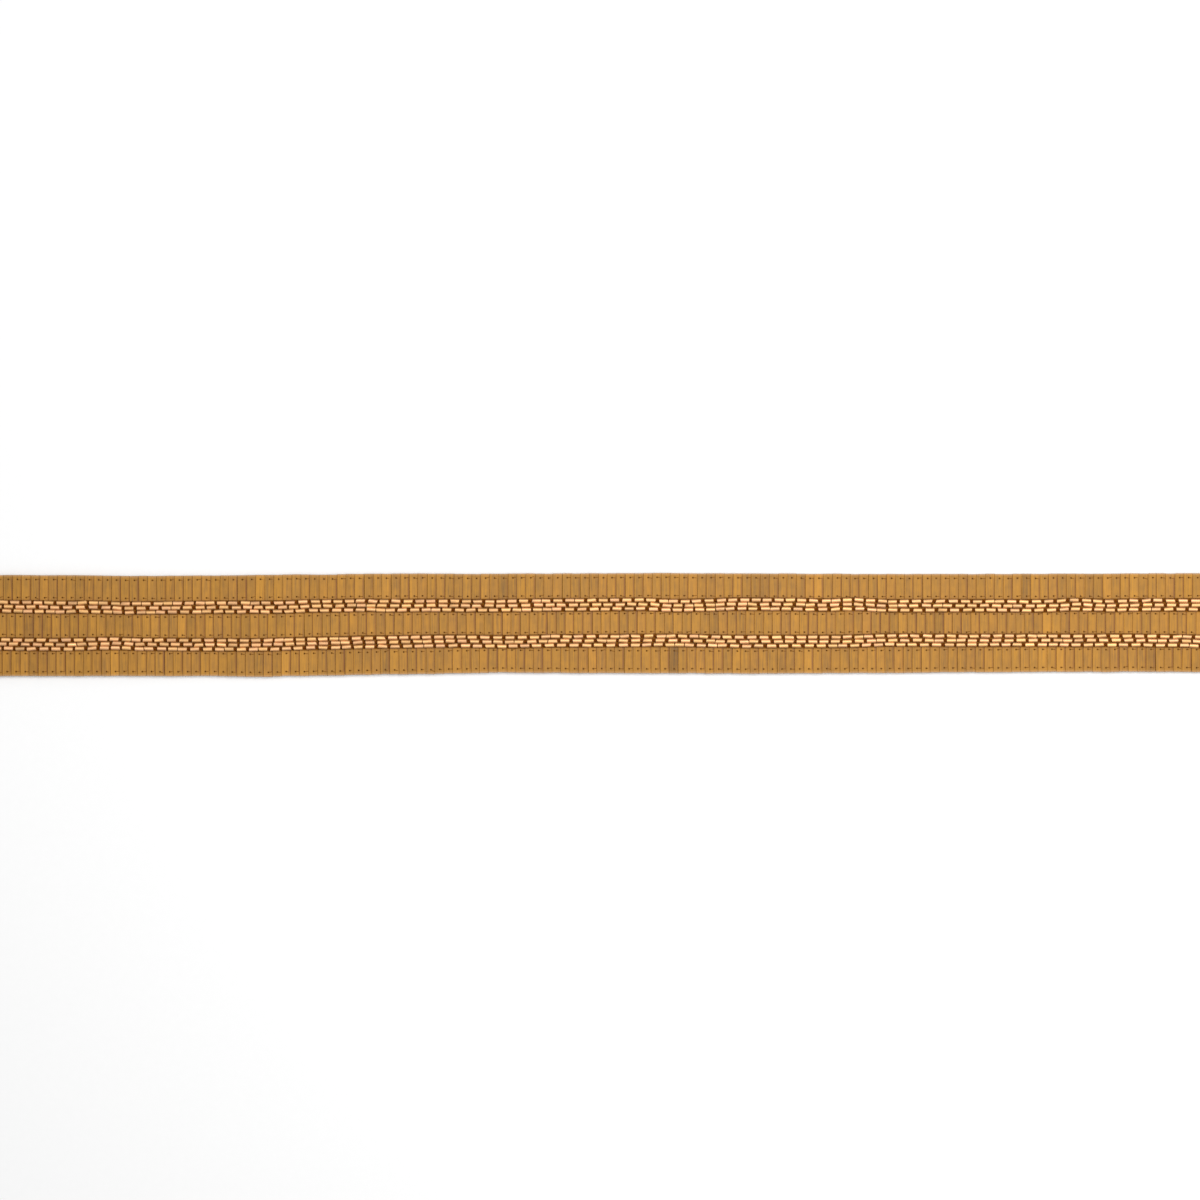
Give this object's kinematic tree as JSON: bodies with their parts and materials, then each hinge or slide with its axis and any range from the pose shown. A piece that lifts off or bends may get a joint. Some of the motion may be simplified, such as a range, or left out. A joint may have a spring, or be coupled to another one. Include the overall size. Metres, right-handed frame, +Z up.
{
  "type": "beaded tape trim",
  "caption": "Cut length of woven tape trim lying flat, covered by bands of lapped flat bars sewn across it and by lines of bugle beads.",
  "frame": {"origin": "middle of the tape's underside, on the surface that the trim lies on", "axes": "+X along the tape, +Y across it towards the upper edge in the picture, +Z up out of the beaded face"},
  "size_m": [0.4, 0.0334, 0.0027],
  "materials": {
    "tape": "closely woven gold-brown tape, matt",
    "bars": "satin gold-brown lacquer on thin flat bars",
    "beads": "opaque peach-gold metallic coat on glass tubes"
  },
  "bodies": {
    "root": {"tape": "tape", "bars_upper": "bars", "bars_middle": "bars", "bars_lower": "bars", "beads_upper_1": "beads", "beads_upper_2": "beads", "beads_upper_3": "beads", "beads_lower_1": "beads", "beads_lower_2": "beads", "beads_lower_3": "beads"}
  },
  "joints": []
}
